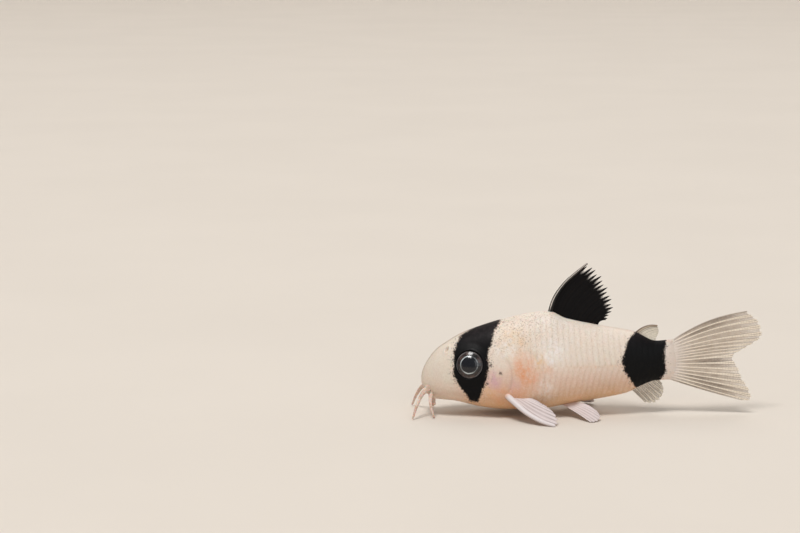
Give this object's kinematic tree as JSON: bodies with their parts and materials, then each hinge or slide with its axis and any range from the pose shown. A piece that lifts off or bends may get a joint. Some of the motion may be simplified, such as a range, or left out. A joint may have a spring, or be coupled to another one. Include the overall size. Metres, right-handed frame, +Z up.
{
  "type": "corydoras catfish model",
  "caption": "Life-size model of a small armoured catfish with a black eye band, dorsal fin and tail blotch, resting on its fin and barbel tips.",
  "frame": {"origin": "on the floor under the middle of the model's length and width", "axes": "+Z up, the head points along -X, the fish's left side faces -Y"},
  "size_m": [0.0512, 0.0186, 0.0222],
  "materials": {
    "skin": "moist satin skin over bony plates, cream with black bands",
    "black_fin": "black fin membrane with paler ray tips",
    "clear_fin": "thin translucent fin membrane with whitish rays",
    "spine": "smooth pale fin spine",
    "eye": "wet glossy black eye with a silver ring"
  },
  "bodies": {
    "root": {"head": "skin", "gill_cover_left": "skin", "gill_cover_right": "skin", "trunk": "skin", "tail_stalk": "skin", "dorsal_fin": "black_fin", "adipose_fin": "clear_fin", "anal_fin": "clear_fin", "caudal_fin_upper": "clear_fin", "caudal_fin_lower": "clear_fin", "pectoral_fin_left": "clear_fin", "pectoral_fin_right": "clear_fin", "pelvic_fin_left": "clear_fin", "pelvic_fin_right": "clear_fin", "dorsal_spine": "spine", "adipose_spine": "spine", "pectoral_spine_left": "spine", "pectoral_spine_right": "spine", "eye_left": "eye", "eye_right": "eye", "barbel_upper_left": "skin", "barbel_upper_right": "skin", "barbel_lower_left": "skin", "barbel_lower_right": "skin", "barbel_chin_left": "skin", "barbel_chin_right": "skin"}
  },
  "joints": []
}
